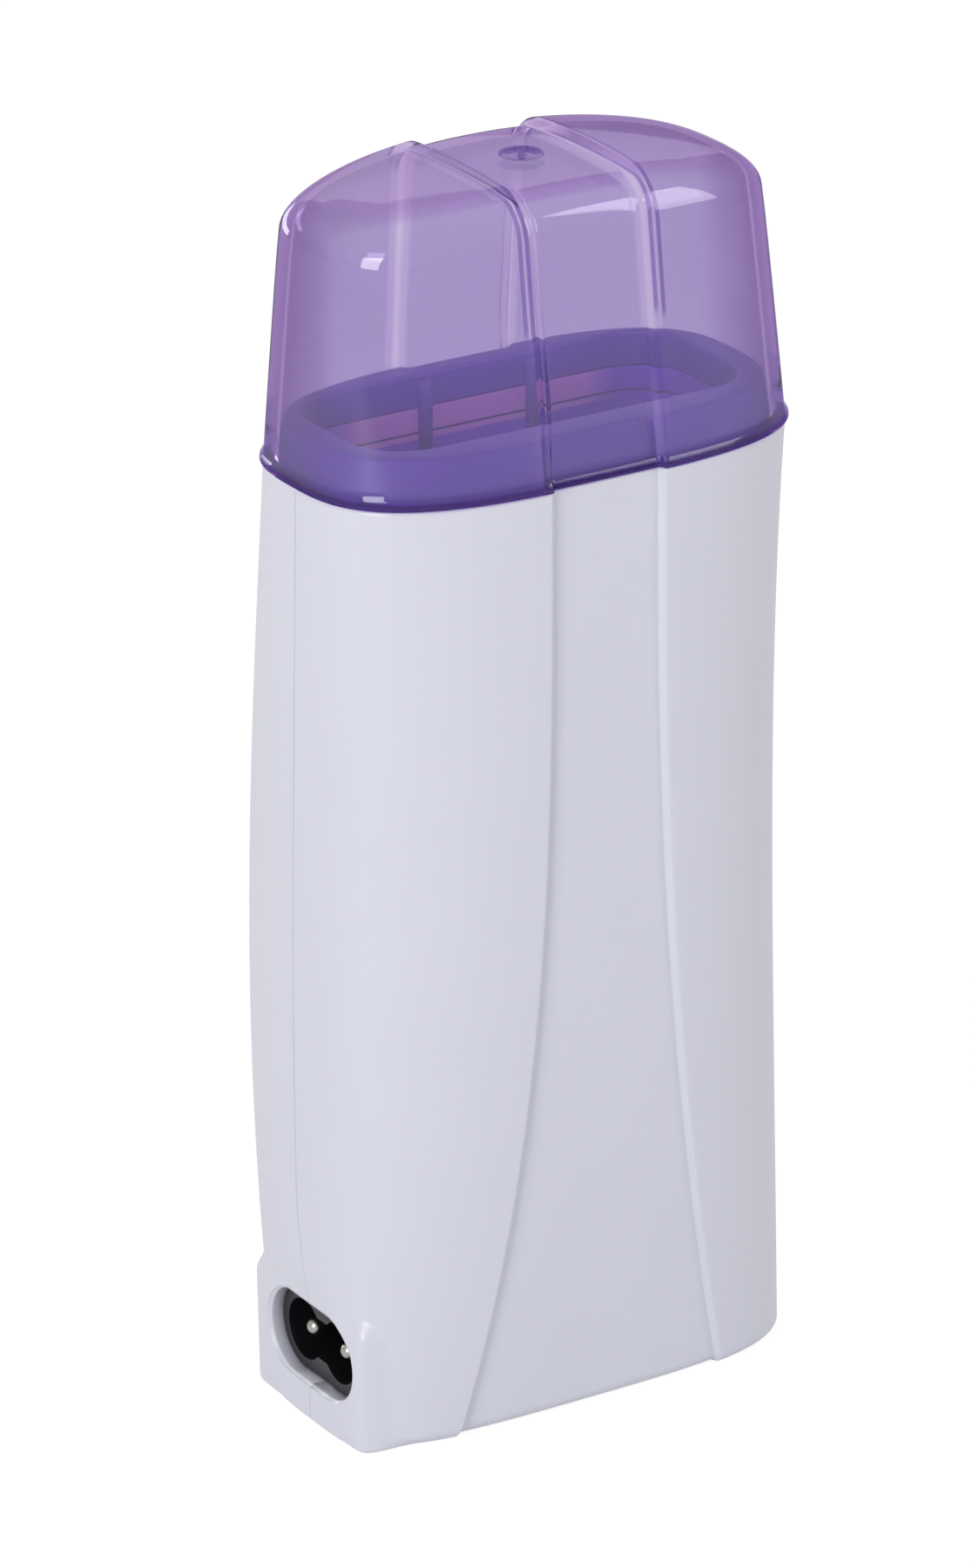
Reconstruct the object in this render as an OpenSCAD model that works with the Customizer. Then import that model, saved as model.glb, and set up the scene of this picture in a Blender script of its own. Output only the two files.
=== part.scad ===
// Hand-held heater for roll-on wax cartridges.
// Two white half shells, a violet collar with the cartridge slot, a clear violet cap,
// a two-pole mains inlet, and a metal pocket with a ceramic heater on each broad side.
// Millimetres, +Z up, front towards -Y, origin under the middle of the base.

/* [Housing] */
// Height of the seam between housing and cap
seam_z = 128.8; // [126:0.2:132]
// Half widths at four heights, from the base to the seam
side_w = [34.2, 33.1, 32.6, 33.6];
// Half depths at the same four heights
side_d = [16, 22.9, 23.3, 19.8];
// How far the middle plane lies behind the origin at the same heights
mid_line = [-2.7, 0.5, -0.2, -4.2];
// Squareness of the outline at the base (2 is an ellipse)
full_base = 3.5; // [3.2:0.1:4.2]
// Squareness of the outline at the seam
full_seam = 3.0; // [2.8:0.1:3.4]
// Wall thickness of the half shells
wall = 2.2; // [1.8:0.1:2.4]
// Radius of the rounded edge round the base
base_round = 2; // [1.6:0.2:4]
// Gap between the two half shells on the parting line
parting_gap = 0.1; // [0.06:0.02:0.2]

/* [Centre band] */
// Half width of the sunk band at the seam
band_top = 8.3; // [7:0.1:9.5]
// Half width of the band at the base
band_base = 20.3; // [16:0.1:22]
// How late the band widens on its way down
band_power = 2.7; // [2:0.1:3.5]
// Depth of the band
band_sunk = 1.0; // [0.6:0.1:1.2]
// Width of the step beside the band
band_step = 0.7; // [0.4:0.1:1.2]

/* [Cap] */
// Height of the roof in its middle, were it not for the sunk band
cap_top = 166.8; // [162:0.2:170]
// Wall thickness of the cap
cap_wall = 1.8; // [1.6:0.1:2]
// Half width of the cap just under its roof
cap_w = 30.8; // [30:0.1:32]
// Half depth of the cap just under its roof
cap_d = 15.9; // [15:0.1:17]
// Rounding between roof and wall: along X, along Y, and in height
cap_round = [7.1, 5.0, 6.1];
// Fall of the roof towards the ends and towards the long sides
cap_crown = [4.8, 1.6];
// Half width of the band on the roof
band_roof = 9.0; // [8:0.1:10]
// How far the lip at the cap's rim stands out
lip = 0.4; // [0.2:0.1:0.6]

/* [Pocket] */
// Width and depth of the slot for the cartridge
slot = [55, 24.4];
// Corner radius of the slot
slot_r = 7.5; // [6:0.5:9]
// Middle of the slot, front to back
slot_y = -3.3; // [-4:0.1:-2.6]
// Thickness of the metal sleeve
sleeve_t = 0.7; // [0.5:0.1:0.8]
// Height of the sleeve's lower end
sleeve_z0 = 24; // [22:0.5:26]
// Height of the sleeve's upper end
sleeve_z1 = 130.2; // [129:0.1:131]
// Height of the collar's top
collar_z = 134.8; // [133.5:0.1:135.5]

/* [Mains inlet] */
// Middle of the inlet, front to back
inlet_y = -2.4; // [-3:0.1:-1.8]
// Height of the inlet's middle
inlet_z = 10.9; // [10:0.1:11.5]
// Width and height of the opening in the housing
inlet_mouth = [20.6, 11.4];
// Distance between the two pins, fixed by the inlet's standard
pin_pitch = 8.6; // [8.6:0.1:8.6]
// Diameter of a pin, fixed by the inlet's standard
pin_d = 2.36; // [2.36:0.01:2.36]
// Outer face of the squared pad round the inlet
pad_x = -32.9; // [-33.2:0.1:-32.6]

/* [Hidden] */

white = [0.87, 0.87, 0.9];
violet = [0.42, 0.31, 0.68];
clear_violet = [0.62, 0.5, 0.85, 0.55];
black = [0.1, 0.1, 0.11];
nickel = [0.78, 0.77, 0.74];
aluminium = [0.8, 0.81, 0.83];
steel = [0.66, 0.67, 0.69];
amber = [0.85, 0.55, 0.2];

lobe_n = 8; // segments from a side's middle line to the band
band_n = 4; // segments across the band
eps = 0.05;

// A cubic through four values that lie at t = 0, 1/3, 2/3 and 1
function cubic(v, t) =
    let (a = t - 1 / 3, b = t - 2 / 3, c = t - 1)
    4.5 * (-v[0] * a * b * c + 3 * v[1] * t * b * c - 3 * v[2] * t * a * c + v[3] * t * a * b);
function mix(a, b, t) = a + (b - a) * t;
function clip(t) = min(1, max(0, t));
function smooth(t) = let (c = clip(t)) c * c * (3 - 2 * c);

function half_w(z) = cubic(side_w, z / seam_z);
function half_d(z) = cubic(side_d, z / seam_z);
function mid_y(z) = cubic(mid_line, z / seam_z);
function fullness(z) = mix(full_base, full_seam, z / seam_z);
function band_w(z) = mix(band_top, band_base, pow(1 - min(z / seam_z, 1), band_power));
// The parting line follows the middle of the sides, and runs through the inlet's middle
function parting_y(z) = mix(inlet_y, mid_y(z) - 0.4, smooth((z - 17) / 14));

// y of the outline at x: half width a, half depth b, squareness n, middle c, side -1 front or 1 rear
function outline_y(x, a, b, n, c, side) =
    c + side * b * pow(max(0, 1 - pow(min(1, abs(x) / a), n)), 1 / n);
// x of the outline's points between the side's middle line and the band
function lobe_x(a, n, w) =
    let (edge = acos(pow(w / a, n / 2)))
    [for (i = [0:lobe_n]) a * pow(cos(edge * i / lobe_n), 2 / n)];

// One closed ring of the outline at height z, anticlockwise from the right end, front side first.
// w is the band's half width; the band is drawn in by sunk and lowered by drop. The height falls
// by crown towards the edges.
function ring(a, b, n, c, z, w, sunk, drop = 0, crown = [0, 0]) =
    let (
        xs = lobe_x(a, n, w),
        flat = [for (j = [0:band_n]) (w - band_step) * (1 - 2 * j / band_n)],
        side_points = function(side) concat(
            [for (i = [0:lobe_n]) [xs[i], outline_y(xs[i], a, b, n, c, side), z]],
            [for (x = flat) [x, outline_y(x, a, b, n, c, side) - side * sunk, z - drop]],
            [for (i = [0:lobe_n]) let (x = xs[lobe_n - i]) [-x, outline_y(x, a, b, n, c, side), z]]),
        front = side_points(-1),
        rear = side_points(1),
        last = len(rear) - 1,
        all = concat([for (i = [len(front) - 1:-1:0]) front[i]], [for (i = [1:last - 1]) rear[i]])
    )
    [for (p = all) fall(p, c, crown)];
// A point lowered by the roof's crown
function fall(p, c, crown) =
    [p[0], p[1], p[2] - crown[0] * pow(p[0] / side_w[3], 2) - crown[1] * pow((p[1] - c) / side_d[3], 2)];

// Triangles between rings of n points, m rings high
function wall_faces(n, m) =
    [for (k = [0:m - 2]) for (i = [0:n - 1])
        let (j = (i + 1) % n, p = k * n, q = (k + 1) * n)
        each [[p + i, q + i, q + j], [p + i, q + j, p + j]]];

// A closed solid through a stack of rings, each with the same number of points
module loft(rings) {
    n = len(rings[0]);
    m = len(rings);
    polyhedron(
        points = [for (r = rings) each r],
        faces = concat(
            [[for (i = [0:n - 1]) i]],
            wall_faces(n, m),
            [[for (i = [n - 1:-1:0]) (m - 1) * n + i]]),
        convexity = 8);
}

// The same, closed above by a roof in columns that run from the last ring's front to its rear
module loft_roofed(rings, c, crown, drop) {
    n = len(rings[0]);
    m = len(rings);
    edge = rings[m - 1];
    cols = n / 2 + 1;
    rows = 6;
    base = m * n;
    top_z = max([for (p = edge) p[2] + fall([p[0], p[1], 0], c, crown)[2] * -1]);
    inner = [for (k = [1:rows - 1]) for (i = [1:cols - 2])
        let (
            front = edge[i],
            rear = edge[n - i],
            in_band = i > lobe_n && i < cols - 1 - lobe_n,
            p = [front[0], mix(front[1], rear[1], k / rows), top_z - (in_band ? drop : 0)]
        )
        fall(p, c, crown)];
    function at(k, i) =
        i == 0 ? base - n :
        i == cols - 1 ? base - n + cols - 1 :
        k == 0 ? base - n + i :
        k == rows ? base - i :
        base + (k - 1) * (cols - 2) + i - 1;
    polyhedron(
        points = concat([for (r = rings) each r], inner),
        faces = concat(
            [[for (i = [0:n - 1]) i]],
            wall_faces(n, m),
            [for (k = [0:rows - 1]) for (i = [0:cols - 2])
                each concat(
                    i == 0 ? [] : [[at(k, i), at(k + 1, i), at(k, i + 1)]],
                    i == cols - 2 ? [] : [[at(k, i + 1), at(k + 1, i), at(k + 1, i + 1)]])]),
        convexity = 8);
}

function moved_up(ring, h) = [for (p = ring) [p[0], p[1], p[2] + h]];
// All that lies above or below a height. Lofts run past their ends and are cut level there.
module above(z) {
    translate([-60, -60, z]) cube([120, 120, 20]);
}
module below(z) {
    translate([-60, -60, z - 20]) cube([120, 120, 20]);
}

// Ring of the housing at height z, drawn in by inset, with the band sunk by sunk
function body_ring(z, inset, sunk) =
    ring(half_w(z) - inset, half_d(z) - inset, fullness(z), mid_y(z), z, band_w(z), sunk);

// The housing's outer form, with its rounded base edge and a small rounding at the seam
module body_form() {
    edge = [0, 30, 60, 90];
    rise = [for (i = [1:11]) mix(base_round, seam_z - 0.6, i / 11)];
    rim = body_ring(seam_z, 0.4, band_sunk);
    loft(concat(
        [moved_up(body_ring(0, base_round, band_sunk), -1)],
        [for (e = edge) body_ring(base_round * (1 - cos(e)), base_round * (1 - sin(e)), band_sunk)],
        [for (z = rise) body_ring(z, 0, band_sunk)],
        [rim, moved_up(rim, 1)]));
}

// The hollow inside the shells, smooth behind the band
module body_hollow() {
    edge = [0, 45, 90];
    r = base_round;
    rise = [for (i = [1:7]) mix(wall + r, seam_z, i / 8)];
    rim = body_ring(seam_z, wall, 0);
    loft(concat(
        [for (e = edge) body_ring(wall + r * (1 - cos(e)), wall + r * (1 - sin(e)), 0)],
        [for (z = rise) body_ring(z, wall, 0)],
        [rim, moved_up(rim, 2)]));
}

// Squared pad round the inlet, at the foot of the left end
module inlet_pad() {
    depth = 14.4;
    length = 11;
    squareness = 9;
    c = -1.1;
    function pad_ring(z, inset) =
        [for (p = ring(length - inset, depth - inset, squareness, c, z, 3, 0))
            [p[0] + pad_x + length, p[1], p[2]]];
    loft([pad_ring(-1, 0.7), pad_ring(0, 0.7), pad_ring(0.2, 0.2), pad_ring(0.7, 0), pad_ring(15.6, 0),
        pad_ring(17.2, 0.5), pad_ring(18.6, 1.8), pad_ring(20, 4)]);
}

// Extrudes a shape drawn in Y and Z along X, from x0 to x1
module along_x(x0, x1) {
    translate([x0, 0, 0]) rotate([90, 0, 90]) linear_extrude(x1 - x0) children();
}
// Extrudes a shape drawn in X and Z along Y, from y0 to y1
module along_y(y0, y1) {
    translate([0, y1, 0]) rotate([90, 0, 0]) linear_extrude(y1 - y0) children();
}
// Round bar along Y
module bar_y(x, z, r, y0, y1) {
    translate([x, y0, z]) rotate([-90, 0, 0]) cylinder(r = r, h = y1 - y0, $fn = 40);
}
// Rectangle w by d with corners of radius r, round its own middle
module rounded(w, d, r) {
    square([w - 2 * r, d], center = true);
    square([w, d - 2 * r], center = true);
    for (sx = [-1, 1], sy = [-1, 1])
        translate([sx * (w / 2 - r), sy * (d / 2 - r)]) circle(r, $fn = 48);
}
// Stadium shape, w long and h high, round its own middle
module stadium(w, h) {
    square([w - h, h], center = true);
    for (s = [-1, 1])
        translate([s * (w - h) / 2, 0]) circle(h / 2, $fn = 48);
}

// All that lies in front of the parting line
module front_side() {
    step = 7;
    top = seam_z + 11;
    line = [for (z = [-1:step:top]) [parting_y(z), z]];
    end = line[len(line) - 1];
    along_x(-50, 50) polygon(concat([[-60, -1]], line, [[-60, end[1]]]));
}

screw_spots = [[0, 11], [21, 11]];
seat_y = 3; // where a case screw's head rests

// The case screws' posts, in both halves
module posts() {
    for (s = screw_spots)
        bar_y(s[0], s[1], 3.6, -24, 24);
}

// What the posts and ribs near the base are cut to, so that they end inside the wall
module foot_space() {
    loft([body_ring(1, 1.5, 0), body_ring(12, 1.2, 0), body_ring(24, 1.5, 0)]);
}

// Shelf under the collar's skirt, as a ring inside both halves
module collar_shelf() {
    z0 = 117;
    z1 = 119;
    difference() {
        loft([body_ring(z0 - 1, wall - 0.3, 0), body_ring(z1 + 1, wall - 0.3, 0)]);
        loft([body_ring(z0 - 2, wall + 1.1, 0), body_ring(z1 + 2, wall + 1.1, 0)]);
        translate([0, slot_y, z0 - 2]) linear_extrude(6)
            rounded(slot[0] + 2.6, slot[1] + 2.6, slot_r + 1.3);
        below(z0);
        above(z1);
    }
}

flange_x = [-28.4, -26.6]; // where the inlet's flange sits

// Two ribs on each side of the inlet's flange, open towards the parting line
module inlet_ribs() {
    for (x = [flange_x[0] - 1.9, flange_x[1] + 0.15])
        difference() {
            along_x(x, x + 1.75) translate([inlet_y, inlet_z]) square([27, 17], center = true);
            along_x(x - 1, x + 3) translate([inlet_y, inlet_z]) stadium(20, 11);
        }
}

// Housing before it is parted: shell, pad, posts, ribs, and the mouth for the inlet
module housing() {
    difference() {
        union() {
            difference() {
                union() {
                    difference() {
                        body_form();
                        // the end is flat round the inlet and fades out above it
                        along_y(-25, 25)
                            polygon([[-45, -3], [pad_x, -3], [pad_x, 16.5], [pad_x - 0.9, 26], [-45, 26]]);
                    }
                    inlet_pad();
                }
                body_hollow();
                // room for the inlet's flange
                along_x(pad_x + wall + 0.6, -20) translate([inlet_y, inlet_z])
                    square([23.8, 14.4], center = true);
            }
            intersection() {
                union() {
                    posts();
                    inlet_ribs();
                }
                foot_space();
            }
            collar_shelf();
        }
        along_x(pad_x - 3, flange_x[0] - 1) translate([inlet_y, inlet_z])
            stadium(inlet_mouth[0], inlet_mouth[1]);
        below(0);
        above(seam_z);
    }
}

// Front half: screw posts with pilot holes
module front_shell() color(white) {
    difference() {
        intersection() {
            housing();
            translate([0, -parting_gap / 2, 0]) front_side();
        }
        for (s = screw_spots)
            bar_y(s[0], s[1], 1.2, -14, 0);
    }
}

// Rear half: screw posts with clearance holes and wells for the heads, bosses for the tray
module rear_shell() color(white) {
    difference() {
        union() {
            difference() {
                housing();
                translate([0, parting_gap / 2, 0]) front_side();
            }
            intersection() {
                for (x = [-tray_x, tray_x])
                    bar_y(x, tray_z, 2.8, tray_y, 24);
                foot_space();
            }
        }
        for (s = screw_spots) {
            bar_y(s[0], s[1], 1.6, -6, 24);
            bar_y(s[0], s[1], 3, seat_y, 30);
        }
        for (x = [-tray_x, tray_x])
            bar_y(x, tray_z, 1.1, tray_y - 1, tray_y + 7);
    }
}

// Violet bezel: skirt inside the shells, upstand for the cap, slot with two guide ribs
module top_collar() color(violet) {
    inset = wall + 0.25;
    z0 = 119;
    rim = cap_ring(collar_z - seam_z, inset + 0.6);
    difference() {
        loft([body_ring(z0 - 1, inset, 0), body_ring(z0 + 4.5, inset, 0),
            body_ring(seam_z - 1.2, inset, band_sunk), body_ring(seam_z + 0.2, inset, band_sunk),
            cap_ring(collar_z - seam_z - 0.7, inset), rim, moved_up(rim, 1)]);
        translate([0, slot_y, z0 - 3]) linear_extrude(collar_z - z0 + 6)
            rounded(slot[0], slot[1], slot_r);
        translate([0, slot_y, z0 - 4]) linear_extrude(sleeve_z1 - z0 + 4)
            rounded(slot[0] + 2 * sleeve_t + 0.2, slot[1] + 2 * sleeve_t + 0.2, slot_r + sleeve_t + 0.1);
        // the middle of the skirt is hollow, so that its wall stays thin
        for (side = [-1, 1])
            translate([-24, side < 0 ? -22 : slot_y + slot[1] / 2 + 2.4, z0 - 5])
                cube([48, side < 0 ? 22 + slot_y - slot[1] / 2 - 2.4 : 8, 11]);
        below(z0);
        above(collar_z);
    }
    // the ribs join the wall above the sleeve and stand clear of it below; the pair sits off the
    // middle, so a keyed cartridge goes in one way round
    rib = [2, 1, 14.6];
    far = slot_y + slot[1] / 2;
    for (x = [-6.8, 9]) {
        translate([x - rib[0] / 2, far - 0.1 - rib[1], collar_z - 0.6 - rib[2]]) cube(rib);
        translate([x - rib[0] / 2, far - 0.5, sleeve_z1 + 0.2])
            cube([rib[0], 0.8, collar_z - sleeve_z1 - 0.8]);
    }
}

// Ring of the cap: height h over the seam, drawn in by inset. bend runs from 0 at the foot of the
// rounding to 90 at the roof's edge.
function cap_ring(h, inset, bend = 0) =
    let (
        height = cap_top - inset - seam_z,
        r = [for (i = [0:2]) cap_round[i] - inset],
        rise = bend > 0 ? height - r[2] + r[2] * sin(bend) : h,
        s = rise / (cap_top - seam_z),
        a = mix(side_w[3], cap_w, s) - inset - r[0] * (1 - cos(bend)),
        b = mix(side_d[3], cap_d, s) - inset - r[1] * (1 - cos(bend))
    )
    ring(a, b, full_seam, cap_mid(s), seam_z + rise, mix(band_top, band_roof, s),
        band_sunk * cos(bend), band_sunk * sin(bend), crown_at(s));
function cap_mid(s) = mid_line[3] + 0.3 * s;
// The crown comes in above the cap's foot, whose rings stay level
function crown_at(s) = cap_crown * pow(clip((s - 0.2) / 0.8), 4);

// The cap's outer or inner form, drawn in by inset, on the given rings of its foot
module cap_form(inset, foot) {
    height = cap_top - inset - seam_z;
    straight = height - cap_round[2] + inset;
    s = height / (cap_top - seam_z);
    loft_roofed(concat(foot,
        [for (i = [1:4]) cap_ring(mix(2, straight, i / 4), inset)],
        [for (bend = [18:18:90]) cap_ring(0, inset, bend)]),
        cap_mid(s), crown_at(s), band_sunk);
}

// Clear cap with its band, rim lip and gate mark
module cap() color(clear_violet) {
    gap = 0.15;
    lip_ring = cap_ring(gap, -lip);
    rim = cap_ring(gap, cap_wall);
    gate_d = 5.6;
    gate_z = cap_top - band_sunk;
    difference() {
        cap_form(0, [moved_up(lip_ring, -1), lip_ring, cap_ring(gap + 0.5, -lip), cap_ring(gap + 1.2, 0)]);
        cap_form(cap_wall, [moved_up(rim, -2), rim]);
        below(seam_z + gap);
        translate([0, cap_mid(1), gate_z - 0.4]) cylinder(d1 = gate_d - 1, d2 = gate_d + 0.6, h = 1.2, $fn = 40);
    }
    translate([0, cap_mid(1), gate_z - 0.6]) cylinder(d = 1.2, h = 0.5, $fn = 24);
}

inlet_face = pad_x + 1.7; // front of the black body, sunk in the mouth
recess_floor = inlet_face + 12.2;
tip_x = inlet_face + 0.4;
shank_r = 0.9; // a pin inside the body

// The recess for the mains lead's connector: two rounds with a narrower waist
module connector_shape() {
    for (s = [-1, 1])
        translate([s * pin_pitch / 2, 0]) circle(4.15, $fn = 48);
    square([pin_pitch, 5.6], center = true);
}

// Black inlet body with a flange and the connector's recess
module inlet_body() color(black) {
    difference() {
        union() {
            along_x(inlet_face, flange_x[1]) translate([inlet_y, inlet_z]) stadium(19.8, 10.8);
            along_x(flange_x[0], flange_x[1]) translate([inlet_y, inlet_z]) rounded(23, 13.6, 2);
            along_x(flange_x[1], recess_floor + 2.6) translate([inlet_y, inlet_z])
                stadium(19.4, 10.4);
        }
        along_x(inlet_face - 1, recess_floor) translate([inlet_y, inlet_z]) connector_shape();
        for (s = [-1, 1])
            translate([recess_floor - 1, inlet_y + s * pin_pitch / 2, inlet_z])
                rotate([0, 90, 0]) cylinder(r = shank_r + 0.02, h = 6, $fn = 40);
    }
}

// Two plated pins with rounded tips, and a solder tab behind each. A thinner shank goes through
// the body.
module inlet_pins() color(nickel) {
    free = recess_floor - tip_x - pin_d / 2;
    for (s = [-1, 1])
        translate([tip_x + pin_d / 2, inlet_y + s * pin_pitch / 2, inlet_z]) {
            sphere(d = pin_d, $fn = 40);
            rotate([0, 90, 0]) cylinder(d = pin_d, h = free, $fn = 40);
            rotate([0, 90, 0]) cylinder(r = shank_r, h = free + 4, $fn = 40);
            translate([free + 3.6, -0.4, -1.4]) cube([5, 0.8, 2.8]);
        }
}

// Drawn aluminium sleeve, open at both ends
module chamber() color(aluminium) {
    translate([0, slot_y, sleeve_z0]) linear_extrude(sleeve_z1 - sleeve_z0) difference() {
        rounded(slot[0] + 2 * sleeve_t, slot[1] + 2 * sleeve_t, slot_r + sleeve_t);
        rounded(slot[0], slot[1], slot_r);
    }
}

tray_x = 12; // the tray's ears, either side of the middle
tray_z = 19.6;
tray_y = 5;

// Heat-proof tray that closes the sleeve below and stands on the rear half's bosses
module chamber_floor() color([0.2, 0.2, 0.22]) {
    rim = 1.4;
    difference() {
        translate([0, slot_y, sleeve_z0 - 1.6]) linear_extrude(4.4)
            rounded(slot[0] - 0.3, slot[1] - 0.3, slot_r);
        translate([0, slot_y, sleeve_z0]) linear_extrude(6)
            rounded(slot[0] - 2 * rim, slot[1] - 2 * rim, slot_r - rim);
        for (x = [-16, 0, 16])
            translate([x, slot_y, sleeve_z0 - 3]) cylinder(d = 4, h = 6, $fn = 32);
    }
    // ledge under the sleeve's edge
    translate([0, slot_y, sleeve_z0 - 1.6]) linear_extrude(1.5) difference() {
        rounded(slot[0] + 1.4, slot[1] + 1.4, slot_r + 0.7);
        rounded(slot[0] - 1, slot[1] - 1, slot_r - 0.4);
    }
    for (x = [-tray_x, tray_x])
        difference() {
            translate([x - 3.2, tray_y - 2, tray_z - 3]) cube([6.4, 1.9, sleeve_z0 - tray_z + 2]);
            bar_y(x, tray_z, 1.4, tray_y - 4, tray_y + 1);
        }
}

// A pan-head screw along Y: head at y on the side given by dir, shank of the given length
module screw(x, y, z, dir, head_r, shank_r, length) {
    translate([x, y, z]) rotate([dir > 0 ? -90 : 90, 0, 0]) {
        difference() {
            union() {
                cylinder(r = head_r, h = 1.1, $fn = 40);
                translate([0, 0, 1.1]) cylinder(r1 = head_r, r2 = head_r * 0.6, h = 0.6, $fn = 40);
            }
            for (turn = [0, 90])
                rotate(turn) translate([-head_r * 0.55, -0.3, 0.8]) cube([head_r * 1.1, 0.6, 2]);
        }
        translate([0, 0, -length]) cylinder(r = shank_r, h = length + eps, $fn = 32);
        translate([0, 0, -length - 1.2]) cylinder(r1 = 0.3, r2 = shank_r, h = 1.2, $fn = 32);
    }
}

// Screws that pull the halves together, driven from behind
module case_screws() color(steel) {
    for (s = screw_spots)
        screw(s[0], seat_y, s[1], 1, 2.7, 1.15, 12);
}

// Screws that hold the tray on the rear half's bosses, driven from the front
module floor_screws() color(steel) {
    for (x = [-tray_x, tray_x])
        screw(x, tray_y - 2, tray_z, -1, 2.2, 1.05, 7);
}

// One side's heater stack: layers counted outwards from the sleeve
sleeve_front = slot_y - slot[1] / 2 - sleeve_t;
sleeve_rear = slot_y + slot[1] / 2 + sleeve_t;
heater_z = 78; // middle of both heaters
spreader_t = 0.8;
contact_t = 0.2;
ptc_t = 1.5;
film_t = 0.2;

// Slab w by h, centred on x and z, that lies from depth d0 to d1 outside the sleeve
module layer(side, x, z, w, h, d0, d1) {
    y0 = side < 0 ? sleeve_front - d1 : sleeve_rear + d0;
    translate([x - w / 2, y0, z - h / 2]) cube([w, d1 - d0, h]);
}
ptc_d0 = spreader_t + contact_t;
ptc_d1 = ptc_d0 + ptc_t;
film_d1 = ptc_d1 + contact_t + film_t;

// Aluminium plate that spreads the heat, with a folded foot at each end
module spreader(side) color(aluminium) {
    layer(side, 0, heater_z, 36, 62, 0, spreader_t);
    for (z = [heater_z - 30, heater_z + 30])
        layer(side, 0, z, 36, 2, spreader_t - eps, spreader_t + 0.5);
}
// Two ceramic tablets
module ptc(side) color([0.33, 0.33, 0.35]) {
    for (z = [heater_z - 12, heater_z + 12])
        layer(side, 0, z, 15, 21, ptc_d0, ptc_d1);
}
// Brass sheets on both faces of the tablets, each with a tab for its lead
module contacts(side) color([0.8, 0.66, 0.36]) {
    for (d = [spreader_t, ptc_d1]) {
        layer(side, 0, heater_z, 15.4, 46, d, d + contact_t);
        layer(side, d > 2 ? 5 : -5, heater_z - 25, 3, 6, d, d + contact_t);
    }
}
// Film between the outer contact sheet and the clamp
module insulation(side) color(amber) {
    layer(side, 0, heater_z, 19, 50, ptc_d1 + contact_t, film_d1);
}
// Spring-steel clamp: a cross bar that bears on the film and reaches over the spreader's edges
module clamp(side) color(steel) {
    t = 0.5;
    difference() {
        layer(side, 0, heater_z, 34, 40, film_d1, film_d1 + t);
        for (z = [heater_z - 12, heater_z + 12])
            layer(side, 0, z, 8, 14, film_d1 - 1, film_d1 + 2);
    }
    for (s = [-1, 1])
        layer(side, s * 16.75, heater_z, 0.5, 40, spreader_t, film_d1 + eps);
}
module front_spreader() spreader(-1);
module rear_spreader() spreader(1);
module front_ptc() ptc(-1);
module rear_ptc() ptc(1);
module front_contacts() contacts(-1);
module rear_contacts() contacts(1);
module front_insulation() insulation(-1);
module rear_insulation() insulation(1);
module front_clamp() clamp(-1);
module rear_clamp() clamp(1);

fuse_z = 38;
fuse_r = 2;
fuse_y = sleeve_rear + fuse_r + 0.1;

// One-shot thermal fuse, lying across the rear of the sleeve
module thermal_fuse() color([0.85, 0.82, 0.72]) {
    translate([-5.5, fuse_y, fuse_z]) rotate([0, 90, 0]) {
        cylinder(r = fuse_r, h = 11, $fn = 40);
        translate([0, 0, -5]) cylinder(r = 0.5, h = 21, $fn = 24);
    }
}
// Strap that holds the fuse against the sleeve: a bridge over the fuse with a foot on each side
module fuse_clip() {
    t = 0.5;
    r = fuse_r + 0.1;
    foot = 3;
    module bridge(r) {
        translate([fuse_y, fuse_z]) circle(r, $fn = 48);
        translate([sleeve_rear, fuse_z - r]) square([fuse_y - sleeve_rear, 2 * r]);
    }
    color(steel) along_x(-2, 2) difference() {
        union() {
            bridge(r + t);
            translate([sleeve_rear, fuse_z - r - foot]) square([t, 2 * (r + foot)]);
        }
        translate([-eps, 0]) bridge(r);
        // nothing reaches into the sleeve
        translate([sleeve_rear - t, fuse_z - r]) square([t, 2 * r]);
    }
}

// Insulated wire: a round tube swept along a route, mitred where it bends
wire_r = 0.8;
module wire(route, paint) {
    sides = 8;
    last = len(route) - 1;
    function unit(v) = v / norm(v);
    function way(i) = unit(route[min(i + 1, last)] - route[max(i - 1, 0)]);
    // each ring is turned from the last one, so that the tube doesn't twist
    function across(i) = i == 0
        ? unit(cross(way(0), [0.3, 1, 0.2]))
        : let (v = across(i - 1)) unit(v - way(i) * (v * way(i)));
    function tube_ring(i) =
        let (u = across(i), v = cross(way(i), u))
        [for (k = [0:sides - 1]) route[i] + wire_r * (cos(360 * k / sides) * u + sin(360 * k / sides) * v)];
    rings = [for (i = [0:last]) tube_ring(i)];
    color(paint) polyhedron(
        points = [for (r = rings) each r],
        faces = concat(
            [[for (i = [sides - 1:-1:0]) i]],
            [for (f = wall_faces(sides, last + 1)) [f[0], f[2], f[1]]],
            [[for (i = [0:sides - 1]) last * sides + i]]),
        convexity = 6);
}
tab_x = recess_floor + 7.4;
front_y = inlet_y - pin_pitch / 2;
rear_y = inlet_y + pin_pitch / 2;

// From the rear pin up behind the sleeve to the fuse
module live_lead() wire([
    [tab_x + 1.8, rear_y, inlet_z],
    [-7.8, rear_y + 0.2, inlet_z],
    [-6.8, 4.5, 13.5],
    [-7, 9.2, 17.5],
    [-8.5, 12.2, 23],
    [-11, 12.6, 28],
    [-16, fuse_y, 34],
    [-16.2, fuse_y, 37],
    [-14.6, fuse_y, fuse_z],
    [-12.7, fuse_y, fuse_z]], [0.35, 0.2, 0.14]);
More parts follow.
